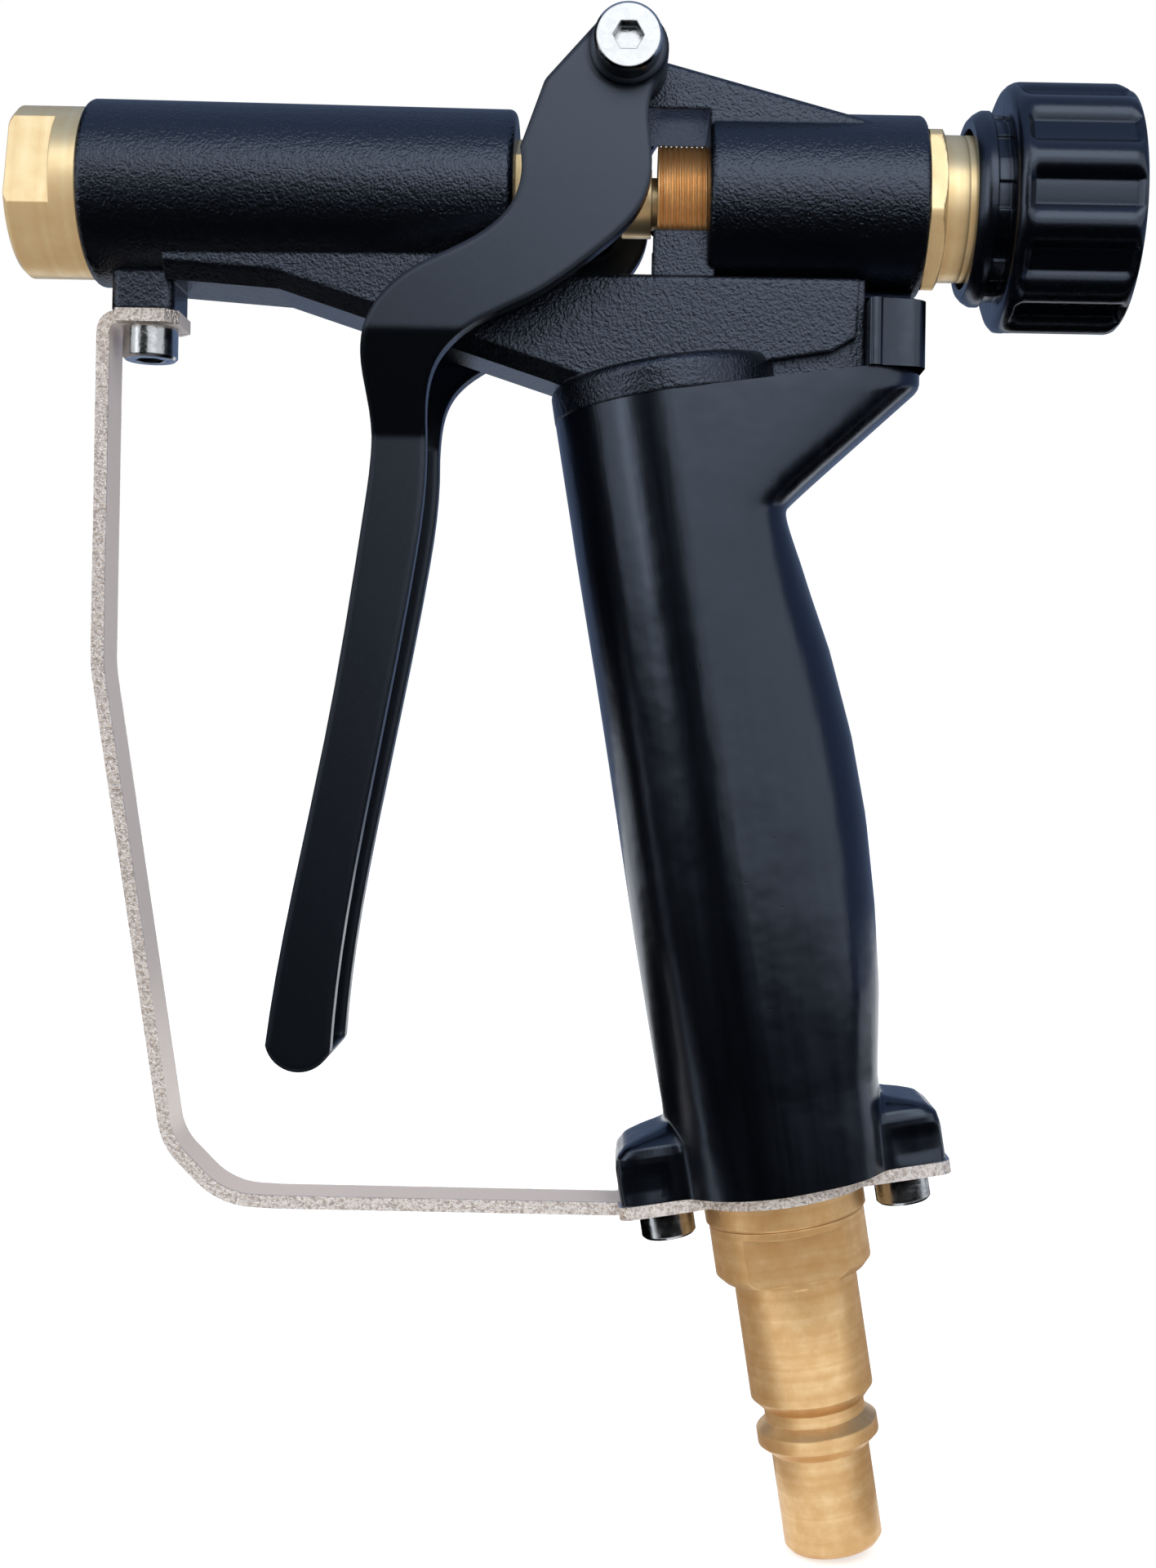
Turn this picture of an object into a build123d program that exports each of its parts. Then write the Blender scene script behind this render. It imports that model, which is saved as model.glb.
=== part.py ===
from build123d import *
import math
import os

os.makedirs("parts", exist_ok=True)

# Trigger nozzle for a water hose, millimetres.
# Origin: centre of the inlet plug's tip. +X to the adjusting knob, -X to the outlet, +Z up.
# Two frames place the parts. The grip's axis starts at the origin and leans toward the outlet;
# heights along it are called s. The head's origin lies where that axis crosses the barrel's axis.

# Overall layout
LEAN = 9.4                # the grip's axis leans this far from upright
BARREL_Z = 208.95         # height of the barrel's axis
HEAD_X = -BARREL_Z * math.tan(math.radians(LEAN))
OUTLET_X = -95.9          # open end of the outlet fitting, in the head's frame
KNOB_END_X = 75.6         # outer end of the knob
CUT = 0.02                # radial room between parts that screw or slide into each other

# Inlet plug and adapter, heights s
PLUG_NOSE_R = 7.65
PLUG_NOSE = 15.2
PLUG_SHANK_R = 9.6
PLUG_COLLAR_R = 12.2
PLUG_COLLAR = 43.0        # start of the collar
PLUG_TOP = 52.0           # end of the collar, where the thread starts
PLUG_FLATS = 19.0
PLUG_BORE_R = 4.5
PLUG_THREAD_R = 8.2
ADAPTER_R = 12.6
ADAPTER_HEIGHT = 4.1
ADAPTER_THREAD_R = 10.4
ADAPTER_THREAD = 17.0

# Guard strip
STRIP = 2.0
STRIP_W = 8.0
PLATE_S = PLUG_TOP + 0.1 + ADAPTER_HEIGHT
SCREW_SHANK_R = 2.5
SCREW_HEAD_R = 4.25
SCREW_HEAD = 5.0

# Grip, heights s
GRIP_S0 = PLATE_S + STRIP
GRIP_S1 = (BARREL_Z - 32.06) / math.cos(math.radians(LEAN))
GRIP_SCREW_R = 18.6
EAR_R = 25.3
EAR_HALF = 8.4
EAR_HEIGHT = 10.8
FLANK_SLOPE = 0.15        # the flanks close toward the rear by this much per millimetre
FLARE_REAR = 43.6         # rear of the flare, in the head's frame
CORE_R = 13.5
CORE_BORE_R = 7.0

# Valve body, in the head's frame
FRONT_X0, FRONT_X1 = -84.9, -18.9
FRONT_R0, FRONT_R1 = 14.3, 13.8
REAR_X0, REAR_X1 = 10.8, 44.1
REAR_R = 14.0
WEB_HALF = 9.0
DECK_Z = -12.95
DECK_X1 = 34.0
COLLAR_R = 17.9
COLLAR_HEIGHT = 5.4
CHAMBER_R = 9.5
LUG_X0, LUG_X1, LUG_Z = -81.1, -71.4, -18.95
LUG_HALF = 5.6
FRONT_SCREW_X = -76.1
SOCKET_R = 11.0           # bore for the outlet fitting's thread
SOCKET_X = -69.4
SEAL_R = 12.3

# Trigger and its pivot, in the head's frame
PIVOT_X, PIVOT_Z = -1.9, 17.95
PIVOT_R = 5.9
BUSH_R = 4.0
BUSH_BORE_R = 2.6
ARM_IN, ARM_OUT = 15.2, 18.6
LEVER_HALF = 11.9         # at the lever's shoulder
TIP_HALF = 9.4
LEVER_WALL = 2.8
NOSE_R = 4.8
NOSE_IN = 3.6             # half the room between the noses, which straddle the stem
NOSE_GAP = 0.15           # between the noses and the collar that they push
SCREW_SEAT_Y = 19.7

# Sliding valve, in the head's frame
STEM_R = 3.0
STEM_SEAL_GAP = 0.03
STEM_X0, STEM_X1 = -71.4, 38.6
PUSH_X = -2.9             # face of the stem's collar that the noses push
PUSH_LENGTH = 5.0
PUSH_R = 5.3
POPPET_R = 7.2
PACKING_R = 7.0
PACKING_X0, PACKING_X1 = -31.4, -25.5
GLAND_HEX = 17.0

# Spring, its housing and the adjusting knob, in the head's frame
HOUSING_R = 8.95
HOUSING_BORE_R = 6.6
HOUSING_X0 = 3.0
HEX_AF = 24.0
HEX_X1 = 46.8
BOSS_R = 11.2
BOSS_X1 = 58.6
SPINDLE_R = 4.9
SPINDLE_X0 = 32.6
SPRING_COIL_R = 4.9
SPRING_WIRE_R = 0.8
SPRING_TURNS = 6.5
SEAT_WASHER = 2.0
KNOB_R = 19.25
KNOB_NECK_R = 14.9
KNOB_X0 = 51.1
KNOB_SHOULDER_X = 56.1
KNOB_MOUTH_R = 12.2
KNOB_WALL_X = 64.6        # inner face of the knob's web, which the spindle's shoulder meets
FLUTES = 11
FLUTE_W = 4.2
FLUTE_DEPTH = 1.3

HEAD = Pos(HEAD_X, 0, BARREL_Z)
BARREL = HEAD * Rot(0, 90, 0)
GRIP = Rot(0, -LEAN, 0)


def turned(points, place):
    """Solid of revolution from (radius, distance along the axis) points."""
    section = Plane.XZ * make_face(Polyline(*points, close=True))
    return place * revolve(section, Axis.Z, 360)


def tube(outer, inner, start, end, place):
    """Plain ring between two distances along its axis."""
    return turned([(inner, start), (outer, start), (outer, end), (inner, end)], place)


def rod(radius, start, end, place):
    """Plain cylinder between two distances along its axis."""
    return place * Pos(0, 0, start) * Cylinder(
        radius, end - start, align=(Align.CENTER, Align.CENTER, Align.MIN))


def hexagon(flats, start, end, place, cut=0.0):
    """Hexagonal block; its corners are turned down toward its end when cut is given."""
    block = place * Pos(0, 0, start) * extrude(RegularPolygon(flats / math.sqrt(3), 6), end - start)
    if cut:
        corner = flats / math.sqrt(3)
        cone = [(0, start), (corner + 1, start), (corner + 1, end - cut - 0.3),
                (flats / 2 - 0.2, end), (0, end)]
        block &= turned(cone, place)
    return block


def head(x, z):
    """World X and Z of a point in the head's frame."""
    return HEAD_X + x, BARREL_Z + z


def on_grip(across, along):
    """World X and Z of a point given across and along the grip's axis."""
    lean = math.radians(LEAN)
    return (across * math.cos(lean) - along * math.sin(lean),
            across * math.sin(lean) + along * math.cos(lean))


def side_prism(points, half):
    """Side outline in X and Z, made 2 * half wide."""
    return extrude(Plane.XZ * make_face(Polyline(*points, close=True)), half, both=True)


def span(x0, x1, half, z0, z1):
    """Box in the head's frame given by its limits in X and Z and its half width."""
    return HEAD * Pos((x0 + x1) / 2, 0, (z0 + z1) / 2) * Box(x1 - x0, 2 * half, z1 - z0)


def across_y(radius, y0, y1, x, z):
    """Cylinder along Y between y0 and y1, in the head's frame."""
    return HEAD * Pos(x, (y0 + y1) / 2, z) * Rot(90, 0, 0) * Cylinder(radius, y1 - y0)


def side_edges(solid, half):
    """Edges that lie in the planes half away from the middle."""
    return [e for e in solid.edges() if abs(abs(e.center().Y) - half) < 0.01]


def socket_screw(head_r, head_h, shank_r, length, key, place):
    """Cap screw whose head rests on height 0 of its place and whose shank goes up."""
    axis = Location((0, 0, 0))
    cap = rod(head_r, -head_h, 0, axis)
    cap = chamfer(cap.edges().filter_by(GeomType.CIRCLE).sort_by(Axis.Z)[0], 0.4)
    return place * (cap + rod(shank_r, 0, length, axis) - hexagon(key, -head_h, -head_h * 0.45, axis))


def bent_path(points, radii):
    """Chain of straight lines whose corners are rounded to the given radii."""
    parts = []
    start = Vector(*points[0])
    for i, radius in enumerate(radii, 1):
        a, b, c = (Vector(*points[k]) for k in (i - 1, i, i + 1))
        u, v = (a - b).normalized(), (c - b).normalized()
        half = math.radians(u.get_angle(v)) / 2
        reach = radius / math.tan(half)
        centre = b + (u + v).normalized() * (radius / math.sin(half))
        middle = centre + (b - centre).normalized() * radius
        parts += [Line(start, b + u * reach), ThreePointArc(b + u * reach, middle, b + v * reach)]
        start = b + v * reach
    parts.append(Line(start, Vector(*points[-1])))
    return Wire(parts)


def valve_body():
    front = turned([(0, FRONT_X0), (FRONT_R0, FRONT_X0), (FRONT_R1, FRONT_X1), (0, FRONT_X1)], BARREL)
    front = fillet(front.edges().filter_by(GeomType.CIRCLE), 1.2)
    rear = rod(REAR_R, REAR_X0, REAR_X1, BARREL)
    rear = fillet(rear.edges().filter_by(GeomType.CIRCLE), 1.0)
    under = GRIP_S1 + 3.7                            # underside of the deck
    web = side_prism([head(-72.4, -9.95), head(-72.4, -14.6), head(-55.0, -15.8), head(-13.6, -29.1),
                      on_grip(-14, under), on_grip(25.6, under), head(DECK_X1 - 0.4, -22.0),
                      head(DECK_X1, DECK_Z), head(REAR_X0, DECK_Z), head(FRONT_X1, DECK_Z),
                      head(FRONT_X1, -9.95)], WEB_HALF)
    low = [e for e in side_edges(web, WEB_HALF)
           if e.center().X < HEAD_X - 15 and e.center().Z < BARREL_Z - 13.5]
    web = chamfer(low, 2.3)
    top = [e for e in side_edges(web, WEB_HALF) if abs(e.center().Z - BARREL_Z - DECK_Z) < 0.1]
    web = fillet(top, 1.0)
    keel = side_prism([on_grip(10, GRIP_S1 + 0.1), on_grip(30.2, GRIP_S1 + 0.1), head(DECK_X1 + 1, -25),
                       head(DECK_X1 + 1, -13), head(20, -13)], 7.0)
    saddle = span(HOUSING_X0 - 0.6, REAR_X0 + 1, 7.6, DECK_Z - 1, -5.9)
    lug = fillet(span(LUG_X0, LUG_X1, LUG_HALF, LUG_Z, -9.95).edges().filter_by(Axis.Z), 1.5)
    ridge = side_prism([head(PIVOT_X, PIVOT_Z - PIVOT_R), head(REAR_X0, PIVOT_Z - PIVOT_R),
                        head(REAR_X0, 0), head(37.6, 0), head(37.6, 10.35), head(3.6, 19.35),
                        head(PIVOT_X, 21.0)], 9.5)
    ridge = fillet([e for e in side_edges(ridge, 9.5) if e.center().Z > BARREL_Z + 12.5], 1.0)
    boss = across_y(PIVOT_R, -ARM_IN + 0.15, ARM_IN - 0.15, PIVOT_X, PIVOT_Z)
    collar = rod(COLLAR_R, GRIP_S1, GRIP_S1 + COLLAR_HEIGHT, GRIP)
    collar = fillet(collar.edges().filter_by(GeomType.CIRCLE).group_by(Axis.Z)[-1], 1.8)
    core = rod(CORE_R, GRIP_S0, GRIP_S1 + 1, GRIP)
    body = front + rear + web + keel + saddle + lug + ridge + boss + collar + core

    # water way: up the grip, along the slanting duct, into the chamber
    body -= rod(CORE_BORE_R, GRIP_S0 + 15, GRIP_S1 + 7.7, GRIP)
    body -= rod(ADAPTER_THREAD_R + CUT, GRIP_S0 - 1, PLATE_S + ADAPTER_THREAD + 3, GRIP)
    (bottom_x, bottom_z), (top_x, top_z) = head(4.1, -26.55), head(-53.4, -7.45)
    bottom, top = Vector(bottom_x, 0, bottom_z), Vector(top_x, 0, top_z)
    duct = Plane(origin=bottom, z_dir=top - bottom)
    body -= duct * Cylinder(4.8, (top - bottom).length, align=(Align.CENTER, Align.CENTER, Align.MIN))
    body -= rod(CHAMBER_R, SOCKET_X - 1, -37.4, BARREL)
    body -= rod(SOCKET_R + CUT, FRONT_X0 - 1, SOCKET_X, BARREL)
    body -= rod(SEAL_R, FRONT_X0 - 1, FRONT_X0 + 1.5, BARREL)
    body -= rod(STEM_R + 0.1, -38.4, PACKING_X0 + 1, BARREL)
    body -= rod(PACKING_R + CUT, PACKING_X0, FRONT_X1 + 1, BARREL)

    # threads for the spring housing, pivot and guard screw
    body -= rod(HOUSING_R + CUT, HOUSING_X0 - 2, REAR_X1 + 1, BARREL)
    body -= across_y(BUSH_R, -20, 20, PIVOT_X, PIVOT_Z)
    body -= HEAD * Pos(FRONT_SCREW_X, 0, LUG_Z - 1) * Cylinder(
        SCREW_SHANK_R, 7.5, align=(Align.CENTER, Align.CENTER, Align.MIN))
    return body


def outlet_fitting():
    flange = rod(13.1, OUTLET_X, FRONT_X0, BARREL)
    flange = chamfer(flange.edges().sort_by(Axis.X)[0], 0.7)
    fitting = flange + rod(SOCKET_R, FRONT_X0, SOCKET_X, BARREL)
    fitting -= rod(9.4, OUTLET_X - 1, FRONT_X0 + 1, BARREL)
    fitting -= rod(5.5, FRONT_X0, SOCKET_X + 1, BARREL)
    turn = HEAD * Pos(OUTLET_X + 3.5, 0, 0) * Rot(-12, 0, 0)
    for side in (-1, 1):
        fitting -= turn * Pos(0, side * 16, 0) * Box(7, 10, 30)
    return fitting


def outlet_seal():
    return tube(SEAL_R - 0.1, SOCKET_R + 0.1, FRONT_X0 + 0.1, FRONT_X0 + 1.5, BARREL)


def valve_seat():
    return tube(CHAMBER_R - CUT, 5, SOCKET_X, SOCKET_X + 3, BARREL)


def valve_poppet():
    cone = SOCKET_X + 0.4
    return turned([(STEM_R, cone), (4.1, cone), (4.9, cone + 2.5), (POPPET_R, cone + 5.2),
                   (POPPET_R, cone + 11.6), (STEM_R, cone + 11.6)], BARREL)


def poppet_clip():
    return tube(4.6, STEM_R, SOCKET_X + 12, SOCKET_X + 13, BARREL)


def valve_stem():
    stem = rod(STEM_R, STEM_X0, STEM_X1, BARREL)
    return chamfer(stem.edges().filter_by(GeomType.CIRCLE), 0.6)


def stem_collar():
    back = PUSH_X + PUSH_LENGTH
    return turned([(STEM_R, PUSH_X), (PUSH_R - 0.5, PUSH_X), (PUSH_R, PUSH_X + 0.5), (PUSH_R, back),
                   (4, back), (4, back + 2), (STEM_R, back + 2)], BARREL)


def gland_packing():
    return tube(PACKING_R, STEM_R + STEM_SEAL_GAP, PACKING_X0, PACKING_X1, BARREL)


def gland_nut():
    thread = rod(PACKING_R, PACKING_X1 + 0.1, FRONT_X1, BARREL)
    nut = thread + hexagon(GLAND_HEX, FRONT_X1, FRONT_X1 + 3.4, BARREL, cut=0.8)
    return nut - rod(STEM_R + 0.05, PACKING_X1 - 1, FRONT_X1 + 5, BARREL)


def closing_spring():
    start = PUSH_X + PUSH_LENGTH + SPRING_WIRE_R
    end = SPINDLE_X0 - SEAT_WASHER - SPRING_WIRE_R
    path = Helix((end - start) / SPRING_TURNS, end - start, SPRING_COIL_R)
    profile = Plane(origin=path @ 0, z_dir=path % 0) * Circle(SPRING_WIRE_R)
    return BARREL * Pos(0, 0, start) * sweep(profile, path, is_frenet=True)


def spring_seat():
    inner, start = STEM_R + 0.3, SPINDLE_X0 - SEAT_WASHER
    return turned([(inner, start), (HOUSING_BORE_R - 0.2, start), (HOUSING_BORE_R - 0.2, start + 1.2),
                   (SPINDLE_R, SPINDLE_X0), (inner, SPINDLE_X0)], BARREL)


def spring_housing():
    sleeve = rod(HOUSING_R, HOUSING_X0, REAR_X1, BARREL)
    sleeve = chamfer(sleeve.edges().sort_by(Axis.X)[0], 0.5)
    nut = hexagon(HEX_AF, REAR_X1, HEX_X1, BARREL * Rot(0, 0, 17), cut=1.0)
    boss = rod(BOSS_R, HEX_X1, BOSS_X1, BARREL)
    boss = chamfer(boss.edges().filter_by(GeomType.CIRCLE), 0.6)
    housing = sleeve + nut + boss
    housing -= rod(HOUSING_BORE_R, HOUSING_X0 - 1, 40.6, BARREL)
    return housing - rod(SPINDLE_R + CUT, 39.6, BOSS_X1 + 1, BARREL)


def adjusting_spindle():
    spindle = rod(SPINDLE_R, SPINDLE_X0, KNOB_WALL_X - 2, BARREL)
    spindle += rod(7, KNOB_WALL_X - 2, KNOB_WALL_X, BARREL) + rod(4, KNOB_WALL_X, KNOB_WALL_X + 7, BARREL)
    spindle -= rod(STEM_R + 0.3, SPINDLE_X0 - 1, STEM_X1 + 10, BARREL)
    return spindle - rod(2, KNOB_WALL_X - 4, KNOB_WALL_X + 8, BARREL)


def knob():
    face = KNOB_WALL_X + 6.5                         # floor of the recess for the cap
    body = turned([(4 + CUT, KNOB_WALL_X), (KNOB_MOUTH_R, KNOB_WALL_X), (KNOB_MOUTH_R, KNOB_X0),
                   (KNOB_NECK_R - 1.3, KNOB_X0), (KNOB_NECK_R, KNOB_X0 + 1.8),
                   (KNOB_NECK_R, KNOB_SHOULDER_X - 2.2), (KNOB_NECK_R - 0.7, KNOB_SHOULDER_X - 2.2),
                   (KNOB_NECK_R - 0.7, KNOB_SHOULDER_X), (KNOB_R - 1.9, KNOB_SHOULDER_X),
                   (KNOB_R - 0.5, KNOB_SHOULDER_X + 0.9), (KNOB_R, KNOB_SHOULDER_X + 2.4),
                   (KNOB_R, KNOB_END_X - 2.2), (KNOB_R - 0.6, KNOB_END_X - 0.7),
                   (KNOB_R - 2.0, KNOB_END_X), (8.1, KNOB_END_X), (8.1, face), (4 + CUT, face)], BARREL)
    length = KNOB_END_X - KNOB_SHOULDER_X
    cutter = side_prism([(-length / 2 + 0.8, KNOB_R + 2), (-length / 2 + 0.8, KNOB_R - 0.5),
                         (-length / 2 + 2.2, KNOB_R - FLUTE_DEPTH), (length / 2 - 2.2, KNOB_R - FLUTE_DEPTH),
                         (length / 2 - 0.8, KNOB_R - 0.5), (length / 2 - 0.8, KNOB_R + 2)], FLUTE_W / 2)
    for i in range(FLUTES):
        body -= HEAD * Rot(82 + 360 / FLUTES * i, 0, 0) * Pos(
            (KNOB_SHOULDER_X + KNOB_END_X) / 2, 0, 0) * cutter
    return body


def knob_screw():
    cap = rod(3.5, KNOB_WALL_X + 7, KNOB_WALL_X + 9.2, BARREL)
    screw = cap + rod(2 - CUT, KNOB_WALL_X - 3, KNOB_WALL_X + 7, BARREL)
    return screw - hexagon(2.5, KNOB_WALL_X + 8.2, KNOB_WALL_X + 10, BARREL)


def knob_cap():
    return rod(8.05, KNOB_END_X - 1.4, KNOB_END_X, BARREL)


def pivot_bush():
    bush = across_y(BUSH_R, -SCREW_SEAT_Y, SCREW_SEAT_Y, PIVOT_X, PIVOT_Z)
    return bush - across_y(BUSH_BORE_R, -30, 30, PIVOT_X, PIVOT_Z)


def pivot_screws():
    near = HEAD * Pos(PIVOT_X, -SCREW_SEAT_Y, PIVOT_Z) * Rot(-90, 0, 0)
    far = HEAD * Pos(PIVOT_X, SCREW_SEAT_Y, PIVOT_Z) * Rot(90, 0, 0)
    return [socket_screw(5, 4, BUSH_BORE_R - CUT, 12, 4, place) for place in (near, far)]


ARM_FRONT = [(-17.6, 3.0), (-21.0, -8.0), (-26.8, -11.75), (-33.0, -14.85), (-38.6, -20.15),
             (-40.8, -26.95), (-39.8, -35.45), (-40.5, -49.35), (-45.9, -84.15), (-54.4, -131.55)]
ARM_REAR = [(-44.6, -132.55), (-40.3, -99.05), (-32.9, -57.55), (-31.4, -41.65), (-29.6, -28.15),
            (-25.4, -23.95), (-15.1, -18.55), (-6.6, -12.45), (0.6, -4.75), (1.9, 0.55),
            (1.3, 7.05), (3.4, 15.05)]


def trigger_outline():
    brow = bent_path([(PIVOT_X - 4.6, PIVOT_Z + 3.7, 0), (-14.1, 13.0, 0), ARM_FRONT[0] + (0,)], [3.0])
    front = Spline(*ARM_FRONT)
    tip = ThreePointArc(ARM_FRONT[-1], (-51.4, -135.15), ARM_REAR[0])
    rear = Spline(*ARM_REAR)
    crown = ThreePointArc(ARM_REAR[-1], (PIVOT_X, PIVOT_Z + PIVOT_R), (PIVOT_X - 4.6, PIVOT_Z + 3.7))
    return make_face(list(brow.edges()) + [front, tip, rear, crown])


def trigger():
    side = HEAD * extrude(Plane.XZ * trigger_outline(), ARM_OUT, both=True)
    top = PIVOT_Z + 10
    half, tip = LEVER_HALF, TIP_HALF
    outer = [(-ARM_OUT, top), (-ARM_OUT, -23.95), (-half, -38.95), (-tip, -139),
             (tip, -139), (half, -38.95), (ARM_OUT, -23.95), (ARM_OUT, top)]
    half, tip = LEVER_HALF - LEVER_WALL, TIP_HALF - LEVER_WALL
    inner = [(-ARM_IN, top), (-ARM_IN, -22.95), (-half, -37.95), (-tip, -132.45),
             (tip, -132.45), (half, -37.95), (ARM_IN, -22.95), (ARM_IN, top)]
    shape = side & HEAD * extrude(Plane.YZ * make_face(Polyline(*outer, close=True)), 140, both=True)
    hollow = HEAD * extrude(Plane.YZ * make_face(Polyline(*inner, close=True)), 140, both=True)
    channel = side_prism([head(-95, top), head(35, top), head(35, -139), head(-51.0, -132.45),
                          head(-50.9, -129.45), head(-43.2, -84.15), head(-37.9, -49.05),
                          head(-37.1, -36.95), head(-38.0, -27.95), head(-95, -25.45)], 20)
    shape -= hollow & channel
    for side_of in (-1, 1):
        shape += across_y(PIVOT_R - 0.2, *sorted((side_of * ARM_IN, side_of * (SCREW_SEAT_Y - 0.1))),
                          PIVOT_X, PIVOT_Z)
        shape += across_y(NOSE_R, *sorted((side_of * NOSE_IN, side_of * (ARM_IN + 0.1))),
                          PUSH_X - NOSE_GAP - NOSE_R, 0)
    return shape - across_y(BUSH_R + 0.05, -30, 30, PIVOT_X, PIVOT_Z)


def grip_section(along, front, half, rear, corner):
    """Grip section: half round in front, flat flanks that close toward a rounded rear."""
    start = rear - corner
    flank = half - FLANK_SLOPE * start
    edges = [ThreePointArc((0, -half), (-front, 0), (0, half))]
    for side in (1, -1):
        edges.append(Line((0, side * half), (start, side * flank)))
        edges.append(TangentArc((start, side * flank), (rear, side * (flank - corner)),
                                tangent=(1, -side * FLANK_SLOPE)))
    edges.append(Line((rear, flank - corner), (rear, corner - flank)))
    return GRIP * Pos(0, 0, along) * make_face(edges)


def grip():
    length = GRIP_S1 - GRIP_S0
    waist = GRIP_S0 + 0.835 * length
    rows = [(0, 16.5, 16.4, 16.6, 9), (0.114, 16.6, 16.5, 17.2, 9), (0.263, 16.7, 16.6, 20.0, 9.5),
            (0.461, 16.9, 16.7, 21.5, 9.5), (0.634, 17.2, 16.9, 20.0, 9), (0.835, 17.5, 17.2, 15.6, 7)]
    handle = loft([grip_section(GRIP_S0 + t * length, *sizes) for t, *sizes in rows])
    flare_bottom = grip_section(waist, 17.5, 17.2, 15.6, 7)
    flare_top = grip_section(GRIP_S1 + 12, 17.7, 17.4, 65.0, 4.0)
    flare = loft([flare_bottom, flare_top], ruled=True)
    rear_limit = side_prism([head(-30, -80), head(FLARE_REAR, -80), head(FLARE_REAR, -16.75),
                             head(DECK_X1 + 1.2, -16.75), on_grip(30.5, GRIP_S1), on_grip(-30, GRIP_S1)], 30)
    shape = handle + (flare & rear_limit)
    top = EAR_HEIGHT
    for side in (-1, 1):
        wall = 15.8 if side < 0 else 16.4
        outline = [(12, 0), (EAR_R, 0), (EAR_R, top - 3.6), (EAR_R - 1.4, top - 1.4),
                   (wall + 2.4, top + 0.6), (wall + 0.8, top + 2.2), (wall, top + 5.5), (12, top + 5.5)]
        ear = side_prism([(side * x, z) for x, z in outline], EAR_HALF)
        rim = [e for e in side_edges(ear, EAR_HALF) if abs(e.center().X) > wall + 0.1 and e.center().Z > 1]
        shape += GRIP * Pos(0, 0, GRIP_S0) * fillet(rim, 1.4)
    shape -= rod(CORE_R + 0.05, GRIP_S0 - 1, GRIP_S1 + 12, GRIP)
    for side in (-1, 1):
        shape -= GRIP * Pos(side * GRIP_SCREW_R, 0, GRIP_S0 - 1) * Cylinder(
            3.6, 9.2, align=(Align.CENTER, Align.CENTER, Align.MIN))
    for x in (36.0, 38.2):                          # grooves down the flare's rear block
        for side in (-1, 1):
            shape -= HEAD * Pos(x + 0.4, side * 13.2, -19) * Box(0.8, 2.4, 16)
    return shape


def thread_inserts():
    return [tube(3.6, SCREW_SHANK_R, GRIP_S0, GRIP_S0 + 8, GRIP * Pos(side * GRIP_SCREW_R, 0, 0))
            for side in (-1, 1)]


def trigger_guard():
    mid = PLATE_S + STRIP / 2
    top = LUG_Z - STRIP / 2
    points = [head(LUG_X1, top), head(-82.55, top), head(-82.55, -73.95), (-104.9, PLATE_S + 5.0),
              (-96.3, PLATE_S - 3.6), (-88, PLATE_S - 3.95), on_grip(-EAR_R - 1, mid),
              on_grip(-EAR_R + 2.6, mid)]
    path = bent_path([(x, 0, z) for x, z in points], [2.2, 25, 10, 12, 5, 5])
    section = Plane(origin=path @ 0, z_dir=path % 0, x_dir=(0, 1, 0)) * Rectangle(STRIP_W, STRIP)
    strip = sweep(section, path)
    tab = span(-80.3, -70.8, 5.8, LUG_Z - STRIP, LUG_Z)
    tab = chamfer(tab.edges().filter_by(Axis.Z).group_by(Axis.X)[-1], 1.8)
    plate = Rectangle(2 * EAR_R + 0.8, 2 * EAR_HALF + 0.4) + Circle(ADAPTER_R + 2)
    plate = fillet(plate.vertices().filter_by(lambda v: abs(v.X) > EAR_R), 2.0)
    plate -= Circle(ADAPTER_THREAD_R + 0.3)
    for side in (-1, 1):
        plate -= Pos(side * GRIP_SCREW_R, 0) * Circle(SCREW_SHANK_R + 0.25)
    guard = strip + tab + GRIP * Pos(0, 0, PLATE_S) * extrude(plate, STRIP)
    return guard - HEAD * Pos(FRONT_SCREW_X, 0, LUG_Z - 1) * Cylinder(SCREW_SHANK_R + 0.25, 6)


def guard_front_screw():
    place = HEAD * Pos(FRONT_SCREW_X, 0, LUG_Z - STRIP)
    return socket_screw(SCREW_HEAD_R, SCREW_HEAD, SCREW_SHANK_R, 8, 4, place)


def grip_screws():
    return [socket_screw(SCREW_HEAD_R, SCREW_HEAD, SCREW_SHANK_R, 9.5, 4,
                         GRIP * Pos(side * GRIP_SCREW_R, 0, PLATE_S)) for side in (-1, 1)]


def inlet_adapter():
    ring = rod(ADAPTER_R, PLATE_S - ADAPTER_HEIGHT, PLATE_S, GRIP)
    ring = chamfer(ring.edges().filter_by(GeomType.CIRCLE), 0.3)
    body = ring + rod(ADAPTER_THREAD_R, PLATE_S, PLATE_S + ADAPTER_THREAD, GRIP)
    return body - rod(PLUG_THREAD_R, PLUG_TOP, PLATE_S + ADAPTER_THREAD + 1, GRIP)


def inlet_seal():
    start = PLATE_S + ADAPTER_THREAD
    return tube(ADAPTER_THREAD_R - 0.2, CORE_BORE_R + 0.2, start, start + 1.8, GRIP)


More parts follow.
